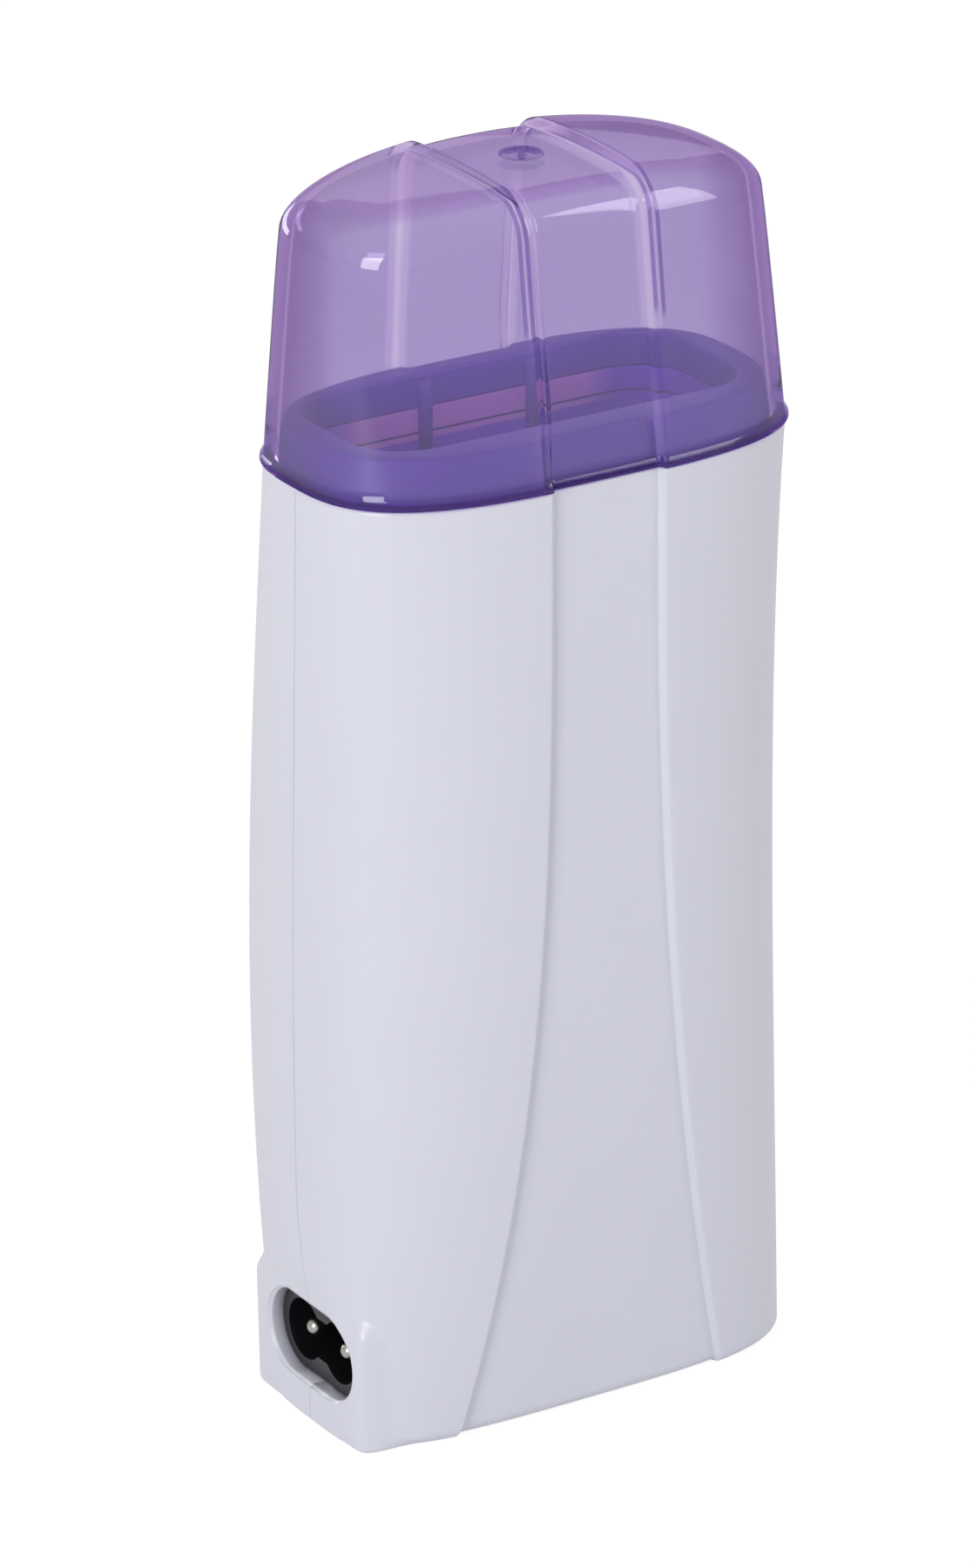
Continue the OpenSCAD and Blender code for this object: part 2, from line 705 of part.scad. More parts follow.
// From the front pin up between sleeve and front shell to the front heater
module neutral_lead() wire([
    [tab_x + 1.8, front_y, inlet_z],
    [-7.8, front_y - 0.2, inlet_z],
    [-7, -9.5, 13.5],
    [-6.5, -14, 17.2],
    [-5.5, -17.1, 21],
    [-5, -17.4, 24.5],
    [-5, sleeve_front - 1.4, 30],
    [-5, sleeve_front - 2.2, 45],
    [-5, sleeve_front - 2.2, 49.9]], [0.16, 0.3, 0.6]);
// From the fuse to the rear heater
module fuse_lead() wire([
    [12.7, fuse_y, fuse_z],
    [14.6, fuse_y, fuse_z],
    [15.8, fuse_y, 39.5],
    [15.5, sleeve_rear + 1.6, 42],
    [13, sleeve_rear + 1.3, 44],
    [-1, sleeve_rear + 1.4, 44.4],
    [-4.4, sleeve_rear + 1.9, 45.4],
    [-5, sleeve_rear + 2.3, 47.2],
    [-5, sleeve_rear + 2.3, 50.2]], [0.75, 0.2, 0.15]);
// From the rear heater under the sleeve to the front heater
module bridge_lead() wire([
    [5, sleeve_rear + 4, 50.2],
    [7, sleeve_rear + 4.6, 46.5],
    [17, sleeve_rear + 4, 42],
    [19, sleeve_rear + 3.4, 30],
    [19, sleeve_rear + 2.2, 23.5],
    [18.6, 8, 20.2],
    [17, -6, 19.6],
    [9, -15, 19.9],
    [5.6, -17.1, 21],
    [5, -17.4, 24.5],
    [5, sleeve_front - 1.6, 30],
    [5, sleeve_front - 2.7, 45],
    [5, sleeve_front - 2.7, 49.9]], [0.85, 0.85, 0.83]);
// Crimp sleeves where leads meet tabs and fuse wires
module crimp_splices() color(nickel) {
    for (y = [front_y, rear_y])
        translate([tab_x, y, inlet_z]) rotate([0, 90, 0]) difference() {
            cylinder(r = 2, h = 3, $fn = 32);
            translate([0, 0, -eps]) cylinder(r = 1.5, h = 4, $fn = 32);
        }
    for (x = [-12.6, 9.6])
        translate([x, fuse_y, fuse_z]) rotate([0, 90, 0]) difference() {
            cylinder(r = 1.3, h = 3, $fn = 32);
            translate([0, 0, -eps]) cylinder(r = 0.52, h = 4, $fn = 32);
        }
}

front_shell();
rear_shell();
top_collar();
cap();
inlet_body();
inlet_pins();
chamber();
chamber_floor();
floor_screws();
case_screws();
front_spreader();
rear_spreader();
front_ptc();
rear_ptc();
front_contacts();
rear_contacts();
front_insulation();
rear_insulation();
front_clamp();
rear_clamp();
thermal_fuse();
fuse_clip();
live_lead();
neutral_lead();
fuse_lead();
bridge_lead();
crimp_splices();
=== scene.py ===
"""A hand-held heater for roll-on wax cartridges: white two-part housing, clear violet cap, violet
collar with the cartridge slot, and a two-pole mains inlet.

Shapes are worked out in millimetres as whole numpy arrays and written to the meshes in metres.
The front is -Y, up is +Z. A grid is an array of rows by columns by 3.
"""

import math

import bmesh
import bpy
import numpy as np
from mathutils import Matrix, Vector


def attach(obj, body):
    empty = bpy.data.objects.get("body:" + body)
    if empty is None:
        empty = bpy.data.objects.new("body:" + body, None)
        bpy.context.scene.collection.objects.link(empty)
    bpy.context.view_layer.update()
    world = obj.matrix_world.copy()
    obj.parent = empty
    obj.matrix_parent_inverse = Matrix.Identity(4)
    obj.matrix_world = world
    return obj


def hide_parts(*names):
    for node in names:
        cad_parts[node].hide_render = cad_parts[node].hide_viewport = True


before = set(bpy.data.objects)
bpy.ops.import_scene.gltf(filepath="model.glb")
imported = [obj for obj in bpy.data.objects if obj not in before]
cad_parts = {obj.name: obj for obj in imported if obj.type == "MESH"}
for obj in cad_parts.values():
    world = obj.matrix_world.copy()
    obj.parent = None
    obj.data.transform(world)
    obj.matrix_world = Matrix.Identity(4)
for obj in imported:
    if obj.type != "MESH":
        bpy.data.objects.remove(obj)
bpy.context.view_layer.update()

MM = 0.001

# ---------------------------------------------------------------- sizes, in millimetres
# Housing: half width, half depth and middle line at four even heights from the base to the seam,
# and the power of the outline's formula, which makes it squarer at the base
SEAM_Z = 128.8
SIDE_W = (34.2, 33.1, 32.6, 33.6)
SIDE_D = (16.0, 22.9, 23.3, 19.8)
MID_LINE = (-2.7, 0.5, -0.2, -4.2)
FULL_BASE, FULL_SEAM = 3.5, 3.0
WALL = 2.2
BASE_ROUND = 2.0
RIM = ((0.35, 0.04), (0.12, 0.16), (0, 0.4))  # height under the seam, and how far drawn in there
PARTING_GAP = 0.03
PARTING_BACK = 0.4  # the parting line lies this far in front of the middle line
SKIN_IN = 0.04  # the skin's outline lies this far inside that of the faceted solid's box

# Sunk band: half width at the seam, at the base and on the roof, and how fast it widens
BAND_TOP, BAND_BASE, BAND_ROOF, BAND_POWER = 8.3, 20.3, 9.0, 2.7
BAND_SUNK = 1.0
BAND_STEP, CAP_STEP = 0.7, 1.7  # width of the step at its edge, on the housing and on the cap

# Cap: half width and half depth at the top, the rounding under the roof (in width, depth and
# height), and how far the roof falls to its ends and to its long sides
CAP_TOP = 166.8
CAP_WALL = 1.8
CAP_W, CAP_D = 30.8, 15.9
CAP_MID_BACK = 0.3  # the middle moves back by this much from the seam to the top
CAP_ROUND = (7.1, 5.0, 6.1)
CAP_CROWN = (4.8, 1.6)
CROWN_START = 0.2
CAP_GAP = 0.15
LIP = 0.4
# Rows up the cap's foot: height over the seam, and how far the lip stands out there
FOOT_OUTSIDE = ((CAP_GAP, 0.22), (0.2, 0.34), (0.35, LIP), (0.65, LIP), (0.9, 0.3), (1.15, 0.1),
                (1.5, 0))
FOOT_INSIDE = ((CAP_GAP, 0.15), (0.3, 0), (0.6, 0), (0.9, 0), (1.2, 0), (1.5, 0), (1.8, 0))

# Gate mark: radius of the dish and of the nib, and their depth and height
GATE_R, NIB_R = 2.45, 0.45
GATE_DEEP, NIB_HIGH = 0.45, 0.35

# Collar, its slot and the ribs in it
COLLAR_Z = 134.8
COLLAR_ROUND = 0.7
COLLAR_IN = 2.0  # how far the upstand lies inside the housing's outline
# Rows up the collar's skirt: height over the seam, and how far inside the housing's outline
SKIRT = ((-9.8, 2.45), (-6, 2.45), (-3, 2.45), (-1, 2.45), (0.3, COLLAR_IN), (2.4, COLLAR_IN))
SLOT = (55.0, 24.4)
SLOT_R = 7.5
SLOT_Y = -3.3
SLOT_LIP = 0.6
SLEEVE_TOP = 130.2
SLEEVE_OVER = 0.8  # how far the collar reaches out over the sleeve's rim
RIB_X = (-6.8, 9.0)
RIB_Z = (119.6, 119.6, 133.0, 133.6, 134.1)
RIB_FULL = (0, 1, 1, 0.8, 0)  # how far the rib stands out at each of those heights
RIB_PROUD, RIB_ROOT = 1.3, 0.2

# Mains inlet: its middle, its opening, and the squared pad round it
INLET_Y, INLET_Z = -2.4, 10.9
MOUTH = (20.6, 11.4)
MOUTH_ROUND = 0.4
PAD_X = -32.9
PAD_Y, PAD_D = -1.1, 14.4
PAD_FULL = 17
PAD_TOP, PAD_FADE, PAD_POWER = 15.6, 4.4, 2.2
PAD_DRAWN = 4.0
PAD_FOOT = 0.7
PAD_CLEAR = 26.0  # above this height the pad is gone
END_LEAN, END_START, END_RISE = 1.6, 15.0, 12.0
INNER_END, INNER_GROW, INNER_START, INNER_RISE = 29.4, 6.0, 19.0, 6.0
END_BLEND, PAD_BLEND, INNER_BLEND = 0.5, 1.2, 0.4


# ---------------------------------------------------------------- curves
def cubic(values, t):
    """The cubic through four values that lie at t = 0, 1/3, 2/3 and 1 (Lagrange's formula)."""
    a, b, c = t - 1 / 3, t - 2 / 3, t - 1
    return 4.5 * (-values[0] * a * b * c + 3 * values[1] * t * b * c
                  - 3 * values[2] * t * a * c + values[3] * t * a * b)


def mix(a, b, t):
    return a + (b - a) * t


def smooth(t):
    """3t^2 - 2t^3, held at 0 below t = 0 and at 1 above t = 1."""
    t = np.clip(t, 0, 1)
    return t * t * (3 - 2 * t)


def soft_max(p, q, k):
    """The larger of two distances, with the corner between them filled over a width k."""
    h = np.maximum(k - np.abs(p - q), 0) / k
    return np.maximum(p, q) + h * h * k / 4


def soft_min(p, q, k):
    return -soft_max(-p, -q, k)


def reach(phi, a, b, n):
    """Distance from the middle to the outline |x/a|^n + |y/b|^n = 1 in the direction phi."""
    return (np.abs(np.cos(phi) / a) ** n + np.abs(np.sin(phi) / b) ** n) ** (-1 / n)


def parting_y(z):
    """The parting line: the middle of the sides, and the inlet's middle near the base."""
    side_middle = cubic(MID_LINE, z / SEAM_Z) - PARTING_BACK
    return mix(INLET_Y, side_middle, smooth((z - 17) / 14))


def band_half_width(z):
    """BAND_BASE at the base, falling to BAND_TOP at the seam with (1 - z/seam)^BAND_POWER."""
    return mix(BAND_TOP, BAND_BASE, (1 - np.minimum(z / SEAM_Z, 1)) ** BAND_POWER)


# ---------------------------------------------------------------- outline of one side
STEP_T = np.linspace(0, 1, 9)[1:]


def band_columns(w, across, step):
    """Columns over the band from its right edge to its left: x, and how far each is sunk (0 to 1).
    The step at each edge follows smooth(t) over the width of the step."""
    right = w - step * STEP_T
    flat = (w - step) * np.linspace(1, -1, across)[1:-1]
    left = -(w - step * STEP_T[::-1])
    x = np.concatenate([right, flat, left, -w], axis=1)
    depth = np.concatenate([smooth(STEP_T), np.ones(across - 2), smooth(STEP_T[::-1]), [0]])
    return x, depth


def side_outline(z, a, b, c, n, w, side, sunk, lobes, across, split=0.0, left_reach=None,
                 step=BAND_STEP):
    """One side of the housing or cap at each height in z (a column), side -1 front or +1 rear.
    Columns run from the right edge through the right lobe, over the sunk band, and through the left
    lobe. A lobe's points lie at equal angles phi from the edge to the band, at the outline's
    distance in each direction; split is how far past the middle the edge lies. left_reach may
    change the distance on the left."""
    start = np.arctan2(split, a * (1 - np.abs(split / b) ** n) ** (1 / n))
    stop = np.arctan2(b * (1 - (w / a) ** n) ** (1 / n), w)
    phi = mix(start, stop, np.linspace(0, 1, lobes[0]))
    r = reach(phi, a, b, n)
    x_right, y_right = r * np.cos(phi), r * np.sin(phi)
    phi = mix(start, stop, np.linspace(1, 0, lobes[1]))[:, 1:]
    r = reach(phi, a, b, n)
    if left_reach is not None:
        r = left_reach(r, phi)
    x_left, y_left = -r * np.cos(phi), r * np.sin(phi)
    x_band, depth = band_columns(w, across, step)
    y_band = b * (1 - np.abs(x_band / a) ** n) ** (1 / n) - sunk * depth
    x = np.concatenate([x_right, x_band, x_left], axis=1)
    y = c + side * np.concatenate([y_right, y_band, y_left], axis=1)
    depth = np.concatenate([np.zeros(lobes[0]), depth, np.zeros(lobes[1] - 1)])
    return x, y, depth


# ---------------------------------------------------------------- meshes
def grid(x, y, z):
    return np.stack(np.broadcast_arrays(x, y, z), axis=-1).astype(float)


def make_mesh(name, grids):
    """A mesh of quads over the grids, merged where they meet, faces outwards."""
    points, faces, base = [], [], 0
    for g in grids:
        rows, cols = g.shape[:2]
        k = base + np.arange(rows * cols).reshape(rows, cols)
        corners = (k[:-1, :-1], k[:-1, 1:], k[1:, 1:], k[1:, :-1])
        faces.append(np.stack(corners, axis=-1).reshape(-1, 4))
        points.append(g.reshape(-1, 3) * MM)
        base += rows * cols
    mesh = bpy.data.meshes.new(name)
    mesh.from_pydata(np.concatenate(points).tolist(), [], np.concatenate(faces).tolist())
    b = bmesh.new()
    b.from_mesh(mesh)
    bmesh.ops.remove_doubles(b, verts=b.verts, dist=1e-6)
    bmesh.ops.dissolve_degenerate(b, edges=b.edges, dist=1e-7)
    bmesh.ops.recalc_face_normals(b, faces=b.faces)
    b.to_mesh(mesh)
    b.free()
    piece = bpy.data.objects.new(name, mesh)
    bpy.context.scene.collection.objects.link(piece)
    return piece


def cut_out(piece, cutter):
    """Takes the cutter's volume out of the piece for good, and deletes the cutter."""
    hole = piece.modifiers.new("hole", "BOOLEAN")
    hole.operation = "DIFFERENCE"
    hole.object = cutter
    hole.solver = "EXACT"
    shown = bpy.context.evaluated_depsgraph_get()
    cut = bpy.data.meshes.new_from_object(piece.evaluated_get(shown))
    piece.modifiers.clear()
    piece.data = cut
    bpy.data.objects.remove(cutter)


def finish_piece(piece, material, body, slot, *replaced):
    """Gives a piece its material, smooth faces and the body it rides on, and hides the nodes it
    stands for.
    """
    piece.data.materials.clear()
    piece.data.materials.append(material)
    smooth_faces = np.ones(len(piece.data.polygons), dtype=bool)
    piece.data.polygons.foreach_set("use_smooth", smooth_faces)
    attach(piece, body)
    if replaced:
        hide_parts(*replaced)
    return piece


def dress(nodes, material):
    """Gives nodes of the frame, which stay as they are, their material."""
    for name in nodes:
        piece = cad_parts[name]
        piece.data.materials.clear()
        piece.data.materials.append(material)


# ---------------------------------------------------------------- housing
BODY_LOBES = (56, 120)
BODY_ACROSS = 34
UNDER_ROWS, EDGE_ROWS, PAD_ROWS, UPPER_ROWS = 8, 13, 55, 59


def housing_rows(side, inside):
    """One side of the housing, from the middle of its base to the rim. Rows under the base shrink
    towards the middle of the parting line; the base's edge follows a quarter circle of radius
    BASE_ROUND; the rim is drawn in as RIM says. The left end is cut flat at PAD_X round the inlet,
    leans out above it, and is merged with the squared pad. The pad's outline is drawn in by
    PAD_DRAWN u^PAD_POWER above PAD_TOP, and by a quarter circle at its foot."""
    t = np.linspace(0, math.pi / 2, EDGE_ROWS)
    low = WALL if inside else 0.0
    rim_under, rim_in = np.array(RIM).T
    z = np.concatenate([
        np.full(UNDER_ROWS, low),
        low + BASE_ROUND * (1 - np.cos(t)),
        np.linspace(low + BASE_ROUND, PAD_CLEAR, PAD_ROWS + 1)[1:],
        np.linspace(PAD_CLEAR, SEAM_Z - 0.6, UPPER_ROWS + 1)[1:],
        SEAM_Z - rim_under])[:, None]
    inset = np.concatenate([
        np.full(UNDER_ROWS, BASE_ROUND),
        BASE_ROUND * (1 - np.sin(t)),
        np.zeros(PAD_ROWS + UPPER_ROWS),
        0 * rim_in if inside else rim_in])[:, None]
    shrink = np.ones(len(z))
    shrink[:UNDER_ROWS] = np.linspace(0, 1, UNDER_ROWS + 1)[:-1]
    shrink = shrink[:, None]
    inset = inset + (WALL if inside else SKIN_IN)
    a = cubic(SIDE_W, z / SEAM_Z) - inset
    b = cubic(SIDE_D, z / SEAM_Z) - inset
    c = cubic(MID_LINE, z / SEAM_Z)
    n = mix(FULL_BASE, FULL_SEAM, z / SEAM_Z)
    edge_y = parting_y(z) + side * PARTING_GAP / 2
    over = np.clip((z - PAD_TOP) / PAD_FADE, 0, 2)
    foot = np.clip(1 - z / PAD_FOOT, 0, 1)
    pad_inset = PAD_DRAWN * over ** PAD_POWER + PAD_FOOT * (1 - np.sqrt(1 - foot ** 2))

    def left_reach(r, phi):
        if inside:
            end = INNER_END + INNER_GROW * smooth((z - INNER_START) / INNER_RISE)
            return soft_min(r, end / np.cos(phi), INNER_BLEND)
        flat = (-PAD_X + END_LEAN * smooth((z - END_START) / END_RISE)) / np.cos(phi)
        pad = reach(phi, -PAD_X - pad_inset, PAD_D + side * (PAD_Y - c) - pad_inset, PAD_FULL)
        return soft_max(soft_min(r, flat, END_BLEND), pad, PAD_BLEND)

    x, y, _ = side_outline(z, a, b, c, n, band_half_width(z), side, 0 if inside else BAND_SUNK,
                           BODY_LOBES, BODY_ACROSS, (edge_y - c) * side, left_reach)
    return grid(x * shrink, edge_y + (y - edge_y) * shrink, z)


def obround(length, height, count):
    """Points round a slot shape along Y, length by height over all."""
    half = np.linspace(-math.pi / 2, math.pi / 2, count)
    far = (length - height) / 2
    u = np.concatenate([far + height / 2 * np.cos(half), -far - height / 2 * np.cos(half)])
    v = np.concatenate([height / 2 * np.sin(half), -height / 2 * np.sin(half)])
    return np.append(u, u[0]), np.append(v, v[0])


def mouth_cutter():
    """The inlet's opening with a rounded lip: the slot shape grows by a quarter circle of radius
    MOUTH_ROUND over the last part before the pad's face. It runs from outside the face to inside
    the wall."""
    t = np.linspace(0, 1.35, 9)
    outside, inside = -3, 5.5
    depth = np.concatenate([[outside], MOUTH_ROUND * (1 - np.sin(t))[::-1], [inside]])
    grow = np.concatenate([[MOUTH_ROUND], MOUTH_ROUND * (1 - np.cos(t))[::-1], [0]])
    rings = [obround(MOUTH[0] + 2 * g, MOUTH[1] + 2 * g, 40) for g in grow]
    y = INLET_Y + np.array([ring[0] for ring in rings])
    z = INLET_Z + np.array([ring[1] for ring in rings])
    wall = grid(PAD_X + depth[:, None], y, z)
    ends = [np.stack([e, np.broadcast_to(e.mean(axis=0), e.shape)]) for e in (wall[0], wall[-1])]
    return make_mesh("mouth_cutter", [wall, *ends])


def half_shell(name, side, material):
    """One half: outer and inner skin, joined round the rim and along both parting edges."""
    outer = housing_rows(side, False)
    inner = housing_rows(side, True)
    piece = make_mesh(name, [
        outer, inner,
        np.stack([outer[-1], inner[-1]]),
        np.stack([outer[:, 0], inner[:, 0]]),
        np.stack([outer[:, -1], inner[:, -1]])])
    cut_out(piece, mouth_cutter())
    return finish_piece(piece, material, "housing", "housing", name.replace("_skin", ""))


# ---------------------------------------------------------------- cap
CAP_LOBES = (60, 60)
CAP_ACROSS = 62
WALL_ROWS, BEND_ROWS, ROOF_ROWS = 29, 16, 80


def cap_outline(rise, grow, bend, side, lobes=CAP_LOBES, across=CAP_ACROSS):
    """One side of the cap at each height over the seam. The half width and depth shrink evenly with
    height, and by CAP_ROUND times (1 - cos bend) in the rounding under the roof, where the band
    turns from sunk inwards to sunk downwards. The height falls by the crown, which grows with the
    fourth power of the height."""
    s = rise / (CAP_TOP - SEAM_Z)
    a = mix(SIDE_W[3], CAP_W, s) + grow - (CAP_ROUND[0] + grow) * (1 - np.cos(bend))
    b = mix(SIDE_D[3], CAP_D, s) + grow - (CAP_ROUND[1] + grow) * (1 - np.cos(bend))
    c = MID_LINE[3] + CAP_MID_BACK * s
    step = mix(BAND_STEP, CAP_STEP, smooth(3 * s))
    x, y, depth = side_outline(rise, a, b, c, FULL_SEAM, mix(BAND_TOP, BAND_ROOF, s), side,
                               BAND_SUNK * np.cos(bend), lobes, across, step=step)
    down = BAND_SUNK * np.sin(bend) * depth + crown(x, y - c, s)
    return grid(x, y, SEAM_Z + rise - down)


def crown(x, y, s):
    """How far the roof falls towards its ends and long sides, in parabolas."""
    fall = CAP_CROWN[0] * (x / SIDE_W[3]) ** 2 + CAP_CROWN[1] * (y / SIDE_D[3]) ** 2
    return np.clip((s - CROWN_START) / (1 - CROWN_START), 0, 1) ** 4 * fall


def gate_mark(x, y):
    """The shallow round dish where the cap was filled, with a nib in its middle."""
    r = np.hypot(x, y - MID_LINE[3] - CAP_MID_BACK)
    return (GATE_DEEP * (1 - smooth((r - GATE_R) / 0.4))
            - NIB_HIGH * (1 - smooth((r - NIB_R) / 0.2)))


def cap_skin(inside):
    """Foot, wall and rounding as rows on each side, and the roof in columns from front to rear."""
    height = CAP_TOP - SEAM_Z - (CAP_WALL if inside else 0)
    base = -CAP_WALL if inside else 0.0
    round_z = CAP_ROUND[2] + base
    straight = height - round_z
    foot, lip = np.array(FOOT_INSIDE if inside else FOOT_OUTSIDE).T
    bend = np.linspace(0, math.pi / 2, BEND_ROWS + 1)[1:]
    rise = np.concatenate([foot, np.linspace(foot[-1], straight, WALL_ROWS + 1)[1:],
                           straight + round_z * np.sin(bend)])[:, None]
    grow = base + np.concatenate([lip, np.zeros(WALL_ROWS + BEND_ROWS)])[:, None]
    bend = np.concatenate([np.zeros(len(foot) + WALL_ROWS), bend])[:, None]
    sides = [cap_outline(rise, grow, bend, side) for side in (-1, 1)]
    s = height / (CAP_TOP - SEAM_Z)
    front, rear = sides[0][-1], sides[1][-1]
    t = np.linspace(0, 1, ROOF_ROWS)[:, None]
    x = mix(front[:, 0], rear[:, 0], t)
    y = mix(front[:, 1], rear[:, 1], t)
    c = MID_LINE[3] + CAP_MID_BACK * s
    flat = SEAM_Z + height - crown(x, y - c, s)
    sunk = front[:, 2] - (SEAM_Z + height - crown(front[:, 0], front[:, 1] - c, s))
    roof = grid(x, y, flat + sunk - (0 if inside else gate_mark(x, y)))
    return sides, roof


def clear_cap(material):
    outer, outer_roof = cap_skin(False)
    inner, inner_roof = cap_skin(True)
    rims = [np.stack([o[0], i[0]]) for o, i in zip(outer, inner)]
    piece = make_mesh("cap_skin", [*outer, outer_roof, *inner, inner_roof, *rims])
    return finish_piece(piece, material, "cap", "cap", "cap")


# ---------------------------------------------------------------- collar
def rounded_reach(u, v, grow):
    """Distance from the slot's middle to its edge, moved out by grow, in the direction (u, v): to
    the nearer straight side, or to the corner's circle where the direction meets that."""
    half_w, half_d, r = SLOT[0] / 2 + grow, SLOT[1] / 2 + grow, SLOT_R + grow
    size = np.hypot(u, v)
    u, v = np.abs(u) / size, np.abs(v) / size
    t = np.minimum(half_w / np.maximum(u, 1e-9), half_d / np.maximum(v, 1e-9))
    kx, ky = half_w - r, half_d - r
    along = u * kx + v * ky
    corner = along + np.sqrt(np.maximum(along ** 2 - (kx ** 2 + ky ** 2 - r ** 2), 0))
    return np.where((t * u > kx) & (t * v > ky), corner, t)


def collar_side(side):
    """One side of the collar, as a closed band of rows: up the skirt and the upstand that the cap
    fits over, round its edge, over the deck, and down into the slot."""
    t = np.linspace(0, math.pi / 2, 7)
    skirt_z, skirt_in = np.array(SKIRT).T
    top = COLLAR_Z - SEAM_Z
    rise = np.append(skirt_z, top - COLLAR_ROUND + COLLAR_ROUND * np.sin(t))[:, None]
    grow = -np.append(skirt_in, COLLAR_IN + COLLAR_ROUND * (1 - np.cos(t)))[:, None]
    outer = cap_outline(rise, grow, np.zeros_like(rise), side, (40, 40), 24)
    outer[:, :, 2] = SEAM_Z + rise
    edge = outer[-1]
    u, v = edge[:, 0], edge[:, 1] - SLOT_Y
    t = np.linspace(math.pi / 2, 0, 7)
    slot_rows = []
    for grow_slot, z in zip(SLOT_LIP * (1 - np.cos(t)), COLLAR_Z - SLOT_LIP * (1 - np.sin(t))):
        scale = rounded_reach(u, v, grow_slot) / np.hypot(u, v)
        slot_rows.append(grid(u * scale, SLOT_Y + v * scale, z))
    slot_rows = np.array(slot_rows)
    floor_z = SLEEVE_TOP + np.array([1.5, 0.3, 0.1])
    wall = np.repeat(slot_rows[-1][None], len(floor_z), axis=0)
    wall[:, :, 2] = floor_z[:, None]
    out = rounded_reach(u, v, SLEEVE_OVER) / np.hypot(u, v)
    deep = grid(u * out, SLOT_Y + v * out, floor_z[-1])
    base = deep.copy()
    base[:, 2] = outer[0, 0, 2]
    return np.concatenate([outer, slot_rows, wall, deep[None], base[None], outer[:1]])


def guide_rib(x):
    """A rounded rib on the slot's far wall: half an ellipse 2 mm wide, RIB_PROUD deep from a root
    that lies RIB_ROOT inside the wall, with a slanted upper end."""
    t = np.linspace(0, math.pi, 17)
    z = np.array(RIB_Z)[:, None]
    size = np.array(RIB_FULL)[:, None]
    root = SLOT_Y + SLOT[1] / 2 + RIB_ROOT
    front = grid(x + np.cos(t), root - RIB_PROUD * np.sin(t) * size, z)
    back = grid(x + np.cos(t), root, z)
    return [front, back]


def violet_collar(material):
    piece = make_mesh("collar_skin", [collar_side(side) for side in (-1, 1)])
    finish_piece(piece, material, "housing", "collar", "top_collar")
    for number, x in enumerate(RIB_X):
        rib = make_mesh(f"guide_rib_{number + 1}", guide_rib(x))
        finish_piece(rib, material, "housing", "collar")


# ---------------------------------------------------------------- materials
FADE = ("Value", "From Min", "From Max", "To Min", "To Max")


def linear(code):
    """An sRGB hex colour turned to linear light, with alpha 1."""
    c = np.array([int(code[i:i + 2], 16) for i in (0, 2, 4)]) / 255
    return (*np.where(c <= 0.04045, c / 12.92, ((c + 0.055) / 1.055) ** 2.4), 1.0)


def add(tree, kind, links=None, **settings):
    """Adds a node with its settings. links gives each input a value, a socket, or a node, which
    stands for its first output in use."""
    node = tree.nodes.new(kind)
    for key, value in settings.items():
        setattr(node, key, value)
    for key, value in (links or {}).items():
        if isinstance(value, bpy.types.Node):
            value = next(socket for socket in value.outputs if socket.enabled)
        if isinstance(value, bpy.types.NodeSocket):
            tree.links.new(value, node.inputs[key])
        else:
            node.inputs[key].default_value = value
    return node


def new_material(name):
    material = bpy.data.materials.new(name)
    material.use_nodes = True
    tree = material.node_tree
    tree.nodes.clear()
    place = add(tree, "ShaderNodeTexCoord").outputs["Object"]
    return material, tree, place


def surface(name, dark, pale, roughness, grain_mm, bump_mm, spread=0.3, **shader):
    """A moulded, rolled or sintered surface: colour and roughness drift a little over nine grains,
    and a fine noise gives the relief. Sizes are real."""
    material, tree, place = new_material(name)
    drift = add(tree, "ShaderNodeTexNoise",
                {"Vector": place, "Scale": 1000 / (grain_mm * 9), "Detail": 3.0})
    grain = add(tree, "ShaderNodeTexNoise",
                {"Vector": place, "Scale": 1000 / grain_mm, "Detail": 2.0})
    colour = add(tree, "ShaderNodeMix", {"Factor": drift, "A": linear(dark), "B": linear(pale)},
                 data_type="RGBA")
    rough = add(tree, "ShaderNodeMapRange", {"Value": drift,
                                             "To Min": roughness * (1 - spread),
                                             "To Max": roughness * (1 + spread)})
    bump = add(tree, "ShaderNodeBump",
               {"Height": grain, "Strength": 1.0, "Distance": bump_mm * MM})
    body = add(tree, "ShaderNodeBsdfPrincipled",
               {"Base Color": colour, "Roughness": rough, "Normal": bump, **shader})
    add(tree, "ShaderNodeOutputMaterial", {"Surface": body})
    return material


def moulded_abs(name, dark, pale, roughness):
    """Injection-moulded ABS: an even colour, a faint orange peel and a soft sheen."""
    return surface(name, dark, pale, roughness, 1.4, 0.0015, 0.1, IOR=1.54)


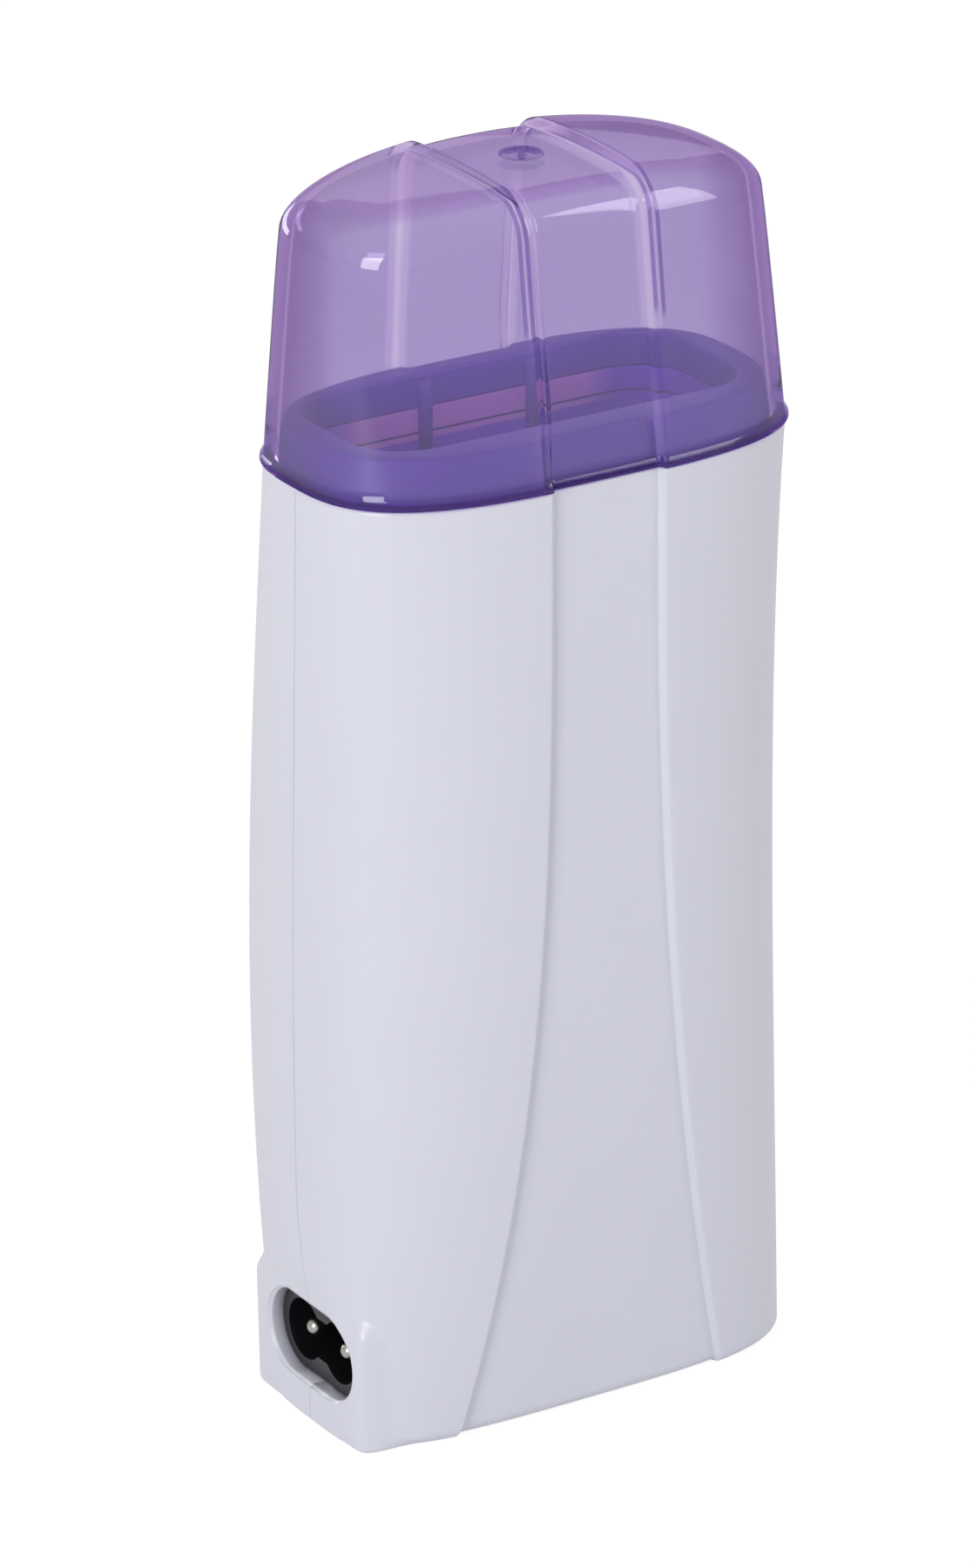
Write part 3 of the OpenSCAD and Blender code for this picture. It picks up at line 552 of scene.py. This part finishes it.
def clear_styrene():
    """Clear violet polystyrene, injection moulded. Its colour comes mainly from how far light runs
    through it, so it is pale through one wall and deep along the rim. Where the wall turns away it
    is a little pinker and darker. The steps of the band are painted pale, a painted highlight for
    the light they would catch. The lines beside them on the roof are painted darker, a painted
    shade line.
    The gate mark is darker, and a trace of milk softens the rest. The room lies on it as a hard
    gloss. Bent light would blur the fine forms inside, so the body has an index close to that of
    air, and the coat has the real one."""
    material, tree, place = new_material("clear_violet_polystyrene")
    at = add(tree, "ShaderNodeSeparateXYZ", {0: place}).outputs
    flow = add(tree, "ShaderNodeTexNoise", {"Vector": place, "Scale": 45.0, "Detail": 2.0})
    wave = add(tree, "ShaderNodeBump", {"Height": flow, "Strength": 1.0, "Distance": 0.02 * MM})
    slant = add(tree, "ShaderNodeLayerWeight", {"Blend": 0.5, "Normal": wave}).outputs["Facing"]
    drift = add(tree, "ShaderNodeMath", {0: flow, 1: 0.1, 2: slant}, operation="MULTIPLY_ADD")
    aside = add(tree, "ShaderNodeMath", {0: at["X"]}, operation="ABSOLUTE")
    roof_line = BAND_ROOF + 0.4
    from_step, from_line = (
        add(tree, "ShaderNodeMath", {0: add(tree, "ShaderNodeMath", {0: aside, 1: x * MM},
                                            operation="SUBTRACT")}, operation="ABSOLUTE")
        for x in (BAND_TOP, roof_line))
    level = add(tree, "ShaderNodeCombineXYZ", {0: at["X"], 1: at["Y"]})
    gate = (0, (MID_LINE[3] + CAP_MID_BACK) * MM, 0)
    from_gate = add(tree, "ShaderNodeVectorMath", {0: level, 1: gate}, operation="DISTANCE")

    # Smooth rises and falls: what they follow, where they start and end, and their two values.
    # Heights and distances are in millimetres until the loop below.
    by_place = {
        # The band's steps: where their painted highlight lies
        "step": (from_step, 0.5, 1.1, 1, 0),
        "over_collar": (at["Z"], COLLAR_Z - 2.8, COLLAR_Z + 1.2, 0.3, 1),
        # The lines beside the steps on the roof: where their painted shade line lies
        "line": (from_line, 0.2, 0.4, 1, 0),
        "upper_wall": (at["Z"], CAP_TOP - 19.8, CAP_TOP - 17.8, 0, 1),
        "front": (at["Y"], -6, -3, 1, 0),
        "roof": (at["Z"], CAP_TOP - 6.3, CAP_TOP - 4.8, 0, 1),
        "gate": (from_gate, GATE_R + 0.15, GATE_R + 0.65, 1, 0),
        "gate_top": (at["Z"], CAP_TOP - 5.8, CAP_TOP - 4.8, 0, 1),
        "lip": (at["Z"], SEAM_Z + 0.8, SEAM_Z + 1.3, 0.35, 0),
        "wall": (at["Z"], SEAM_Z + 0.8, SEAM_Z + 1.3, 0, 1),
        "by_collar": (at["Z"], COLLAR_Z - 0.8, COLLAR_Z + 0.2, 1, 0)}
    rows = {name: (source, start * MM, end * MM, low, high)
            for name, (source, start, end, low, high) in by_place.items()}
    rows.update(
        gloss=(flow, 0, 1, 0.03, 0.07),
        turned=(drift, 0.3, 0.65, 0, 1),
        edge_on=(slant, 0.4, 0.8, 0, 1),
        coat=(slant, 0.45, 0.85, 1, 0.1))
    fade = {name: add(tree, "ShaderNodeMapRange", dict(zip(FADE, row)),
                      interpolation_type="SMOOTHSTEP")
            for name, row in rows.items()}

    front_line = add(tree, "ShaderNodeMath", {0: fade["upper_wall"], 1: fade["front"]},
                     operation="MULTIPLY")
    lined = add(tree, "ShaderNodeMath", {0: front_line, 1: fade["roof"]}, operation="MAXIMUM")
    foot = add(tree, "ShaderNodeMath", {0: fade["edge_on"], 1: fade["by_collar"]},
               operation="MULTIPLY")
    on_edge = add(tree, "ShaderNodeMath", {0: fade["lip"], 1: foot}, operation="MAXIMUM")
    # A pale tint on the band's steps is a painted highlight where they would catch the light
    painted_step_highlight, painted_line_shade, on_gate, coat = (
        # A dark tint on the lines beside the steps on the roof is a painted shade line
        add(tree, "ShaderNodeMath", {0: one, 1: other}, operation="MULTIPLY")
        for one, other in ((fade["step"], fade["over_collar"]), (fade["line"], lined),
                           (fade["gate"], fade["gate_top"]), (fade["coat"], fade["wall"])))
    tint = linear("DDD8EC")
    # FFFAFF is the steps' painted highlight
    for share, colour in ((fade["turned"], "BCA4CF"), (painted_step_highlight, "FFFAFF"), (painted_line_shade, "8264B2"),
                          (on_gate, "7C62AC"), (on_edge, "7A62B0")):
        tint = add(tree, "ShaderNodeMix", {"Factor": share, "A": tint, "B": linear(colour)},
                   data_type="RGBA")
    body = add(tree, "ShaderNodeBsdfPrincipled", {
        "Base Color": tint, "Roughness": fade["gloss"], "Normal": wave, "IOR": 1.04,
        "Transmission Weight": 1.0, "Coat Weight": coat, "Coat IOR": 1.59,
        "Coat Roughness": 0.04})
    milk = add(tree, "ShaderNodeBsdfDiffuse", {"Color": linear("B79AD0")})
    milk_share = add(tree, "ShaderNodeMapRange", dict(zip(FADE, (painted_step_highlight, 0, 1, 0.05, 0))),
                     interpolation_type="SMOOTHSTEP")
    skin = add(tree, "ShaderNodeMixShader", {0: milk_share, 1: body, 2: milk})
    dye = add(tree, "ShaderNodeVolumeAbsorption", {"Color": linear("B87CDC"), "Density": 115.0})
    add(tree, "ShaderNodeOutputMaterial", {"Surface": skin, "Volume": dye})
    return material


def sleeve_metal():
    """Drawn aluminium with fine upright draw lines, anodised violet inside and out up to 4 mm under
    its rim. The violet is its own colour, made lighter than the collar's as painted light against
    the shade deep in the pocket. The rim is bare and satin, and its bright pink is a painted
    reflection of the violet cap. A dark band on the rim is the painted shade of a rolled groove
    that has no shape of its own. The rim fades into the anodising round the corners, as painted
    shade there."""
    material, tree, place = new_material("drawn_aluminium_sleeve")
    at = add(tree, "ShaderNodeSeparateXYZ", {0: place}).outputs
    drawn = add(tree, "ShaderNodeVectorMath", {0: place, 1: (1, 1, 0.02)}, operation="MULTIPLY")
    lines = add(tree, "ShaderNodeTexNoise", {"Vector": drawn, "Scale": 2500.0, "Detail": 2.0})
    aside = add(tree, "ShaderNodeMath", {0: at["X"]}, operation="ABSOLUTE")
    bare_z, groove_z = SLEEVE_TOP - 4.3, SLEEVE_TOP - 3.5
    rows = {
        "above": (at["Z"], bare_z * MM, (bare_z + 0.3) * MM, 0, 1),
        # The bare rim fades out towards the corners: painted shade there
        "middle": (aside, 16 * MM, 22 * MM, 1, 0),
        # A dark band with no shape under it: painted shade of a groove
        "groove_foot": (at["Z"], groove_z * MM, (groove_z + 0.2) * MM, 0, 1),
        "groove_top": (at["Z"], (groove_z + 0.3) * MM, (groove_z + 0.5) * MM, 1, 0),
        "rough": (lines, 0, 1, 0.4, 0.5)}
    fade = {name: add(tree, "ShaderNodeMapRange", dict(zip(FADE, row)),
                      interpolation_type="SMOOTHSTEP")
            for name, row in rows.items()}
    bare, groove = (
        add(tree, "ShaderNodeMath", {0: one, 1: other}, operation="MULTIPLY")
        for one, other in ((fade["above"], fade["middle"]),
                           (fade["groove_foot"], fade["groove_top"])))
    # A violet lighter than the collar's: its own colour, made lighter as painted light against the
    # pocket's shade
    colour = linear("9468DE")
    # The rim's bright pink is a painted reflection of the violet cap
    for share, other in ((bare, "FFBEF4"), (groove, "5A4490")):
        colour = add(tree, "ShaderNodeMix", {"Factor": share, "A": colour, "B": linear(other)},
                     data_type="RGBA")
    metal = add(tree, "ShaderNodeMapRange", dict(zip(FADE, (bare, 0, 1, 0, 0.4))),
                interpolation_type="SMOOTHSTEP")
    relief = add(tree, "ShaderNodeBump", {"Height": lines, "Strength": 1.0, "Distance": 0.004 * MM})
    body = add(tree, "ShaderNodeBsdfPrincipled", {
        "Base Color": colour, "Metallic": metal, "Roughness": fade["rough"], "Normal": relief})
    add(tree, "ShaderNodeOutputMaterial", {"Surface": body})
    return material


# ---------------------------------------------------------------- build
white = moulded_abs("white_gloss_abs", "D8D9E5", "DBDCE8", 0.3)
half_shell("front_shell_skin", -1, white)
half_shell("rear_shell_skin", 1, white)
clear_cap(clear_styrene())
violet_collar(moulded_abs("violet_satin_abs", "745CB8", "7A61BE", 0.5))

# Hard moulded phenolic: near black, with a dull shine
dress(["inlet_body"], surface("black_phenolic", "0E0E12", "141418", 0.35, 0.8, 0.004, IOR=1.6))
# Nickel plate on turned or rolled metal: bright and a little warm
dress(["inlet_pins", "crimp_splices"],
      surface("nickel_plating", "B9B6AE", "C6C3BC", 0.22, 0.6, 0.002, Metallic=1.0))
dress(["chamber"], sleeve_metal())
# Rolled sheet: pale grey and satin
dress(["front_spreader", "rear_spreader"],
      surface("rolled_aluminium", "C2C3C7", "CFD0D4", 0.35, 0.8, 0.003, Metallic=1.0))
# Filled nylon: charcoal and nearly matt
dress(["chamber_floor"],
      surface("heatproof_nylon", "1C1C1F", "242428", 0.55, 0.9, 0.01, IOR=1.53))
# Zinc plate on steel: mid grey
dress(["floor_screws", "case_screws"],
      surface("zinc_plated_steel", "8E9092", "A0A2A4", 0.35, 0.5, 0.003, Metallic=1.0))
# Sintered ceramic of the heating elements: dark grey and matt
dress(["front_ptc", "rear_ptc"], surface("sintered_titanate", "3A3A3E", "4A4A4E", 0.7, 0.3, 0.01))
# Stamped brass sheet: dull yellow
dress(["front_contacts", "rear_contacts"],
      surface("stamped_brass", "B08D4A", "C19E58", 0.35, 0.6, 0.003, Metallic=1.0))
# Polyimide film: smooth amber
dress(["front_insulation", "rear_insulation"],
      surface("polyimide_film", "B06A1E", "C07A28", 0.25, 1.0, 0.002, IOR=1.7))
# Hardened strip steel: grey with a low shine
dress(["front_clamp", "rear_clamp", "fuse_clip"],
      surface("spring_steel", "85878B", "96989C", 0.3, 0.5, 0.002, Metallic=1.0))
# Unglazed ceramic body: cream and matt
dress(["thermal_fuse"], surface("fuse_ceramic", "CDC5AE", "D8D0BA", 0.5, 0.5, 0.008))
# Extruded silicone sleeves of the wires: plain colours, rubbery
dress(["live_lead"], surface("brown_silicone", "4A2C1C", "553424", 0.5, 0.6, 0.006))
dress(["neutral_lead"], surface("blue_silicone", "24437C", "2C4D88", 0.5, 0.6, 0.006))
dress(["fuse_lead"], surface("red_silicone", "A02E24", "AD382C", 0.5, 0.6, 0.006))
dress(["bridge_lead"], surface("white_silicone", "CFCFCA", "D9D9D4", 0.5, 0.6, 0.006))


# ---------------------------------------------------------------- room
ROOM_FILL = 0.46  # strength of the even light on the object
GLOSS_SHARE = 0.25  # how much of the white surroundings shows in gloss


def seen_share(tree):
    """1 for rays from the camera, also through clear plastic, a part of it off gloss, else 0."""
    rays = add(tree, "ShaderNodeLightPath").outputs
    direct = add(tree, "ShaderNodeMath", {0: rays["Is Camera Ray"], 1: rays["Is Transmission Ray"]},
                 operation="MAXIMUM")
    mirrored = add(tree, "ShaderNodeMath", {0: rays["Is Glossy Ray"], 1: GLOSS_SHARE},
                   operation="MULTIPLY")
    return add(tree, "ShaderNodeMath", {0: direct, 1: mirrored}, operation="MAXIMUM")


def pale_floor():
    """A white table top: it returns light like white card, and shows as the photograph's white
    background with the object's faint shadow."""
    material, tree, _ = new_material("white_card")
    card = add(tree, "ShaderNodeBsdfDiffuse", {"Color": linear("EDEDED")})
    faint = add(tree, "ShaderNodeBsdfDiffuse", {"Color": (0.25, 0.25, 0.25, 1)})
    glow = add(tree, "ShaderNodeEmission", {"Color": (1, 1, 1, 1), "Strength": 0.86})
    shown = add(tree, "ShaderNodeAddShader", {0: faint, 1: glow})
    both = add(tree, "ShaderNodeMixShader", {0: seen_share(tree), 1: card, 2: shown})
    add(tree, "ShaderNodeOutputMaterial", {"Surface": both})
    far = 3.0
    low = -0.02 * MM  # just under the base, so that the two don't share a plane
    corners = [(-far, -far, low), (far, -far, low), (far, far, low), (-far, far, low)]
    mesh = bpy.data.meshes.new("floor")
    mesh.from_pydata(corners, [], [(0, 1, 2, 3)])
    mesh.materials.append(material)
    floor = bpy.data.objects.new("floor", mesh)
    bpy.context.scene.collection.objects.link(floor)


def room_light():
    """Even white light on the object, in a room that shows as plain white."""
    world = bpy.data.worlds.new("studio")
    world.use_nodes = True
    tree = world.node_tree
    tree.nodes.clear()
    fill, white_room = (
        add(tree, "ShaderNodeBackground", {"Color": (1, 1, 1, 1), "Strength": strength})
        for strength in (ROOM_FILL, 1.0))
    both = add(tree, "ShaderNodeMixShader", {0: seen_share(tree), 1: fill, 2: white_room})
    add(tree, "ShaderNodeOutputWorld", {"Surface": both})
    bpy.context.scene.world = world


def softbox(name, azimuth, elevation, distance, width, height, power):
    """A rectangular soft light that looks at the object's middle from the given direction, in
    degrees, metres and watts; azimuth 0 is in front of it and grows to the right."""
    az, el = math.radians(azimuth), math.radians(elevation)
    aim = np.array([0, 0, 0.09])
    lamp = bpy.data.lights.new(name, "AREA")
    lamp.shape = "RECTANGLE"
    lamp.size, lamp.size_y = width, height
    lamp.energy = power
    holder = bpy.data.objects.new(name, lamp)
    place = aim + distance * np.array(
        [math.sin(az) * math.cos(el), -math.cos(az) * math.cos(el), math.sin(el)])
    holder.location = place
    holder.rotation_euler = Vector(aim - place).to_track_quat("-Z", "Y").to_euler()
    bpy.context.scene.collection.objects.link(holder)


def camera():
    """A long lens to the left of the front, a little above, a metre away. Its middle falls 41.7
    pixels right of the middle of the frame, whose longer side has 1800, and the shift makes that
    good."""
    az, el, roll = math.radians(31.403), math.radians(22.171), math.radians(-0.677)
    distance = 1.0005
    target = np.array([0, -0.0024, 0.08136])
    back = np.array([-math.sin(az) * math.cos(el), -math.cos(az) * math.cos(el), math.sin(el)])
    level_right = np.array([math.cos(az), -math.sin(az), 0])
    level_up = np.cross(back, level_right)
    data = bpy.data.cameras.new("camera")
    data.sensor_width = 36
    data.lens = 180.52
    data.shift_x = -41.7 / 1800
    data.clip_end = 20
    eye = bpy.data.objects.new("camera", data)
    bpy.context.scene.collection.objects.link(eye)
    turn = np.eye(4)
    turn[:3, 0] = level_right * math.cos(roll) + level_up * math.sin(roll)
    turn[:3, 1] = level_up * math.cos(roll) - level_right * math.sin(roll)
    turn[:3, 2] = back
    turn[:3, 3] = target + distance * back
    eye.matrix_world = Matrix(turn.tolist())
    bpy.context.scene.camera = eye


pale_floor()
room_light()
softbox("left_softbox", -62, 18, 0.9, 0.36, 0.5, 3.7)
softbox("front_softbox", 47, 26, 1.0, 0.42, 0.52, 2.2)
softbox("back_softbox", 152, 24, 1.3, 0.9, 0.5, 1.1)
softbox("low_back_softbox", 186, 5, 1.2, 0.7, 0.24, 2.8)
camera()

bpy.context.scene.view_settings.view_transform = "Standard"
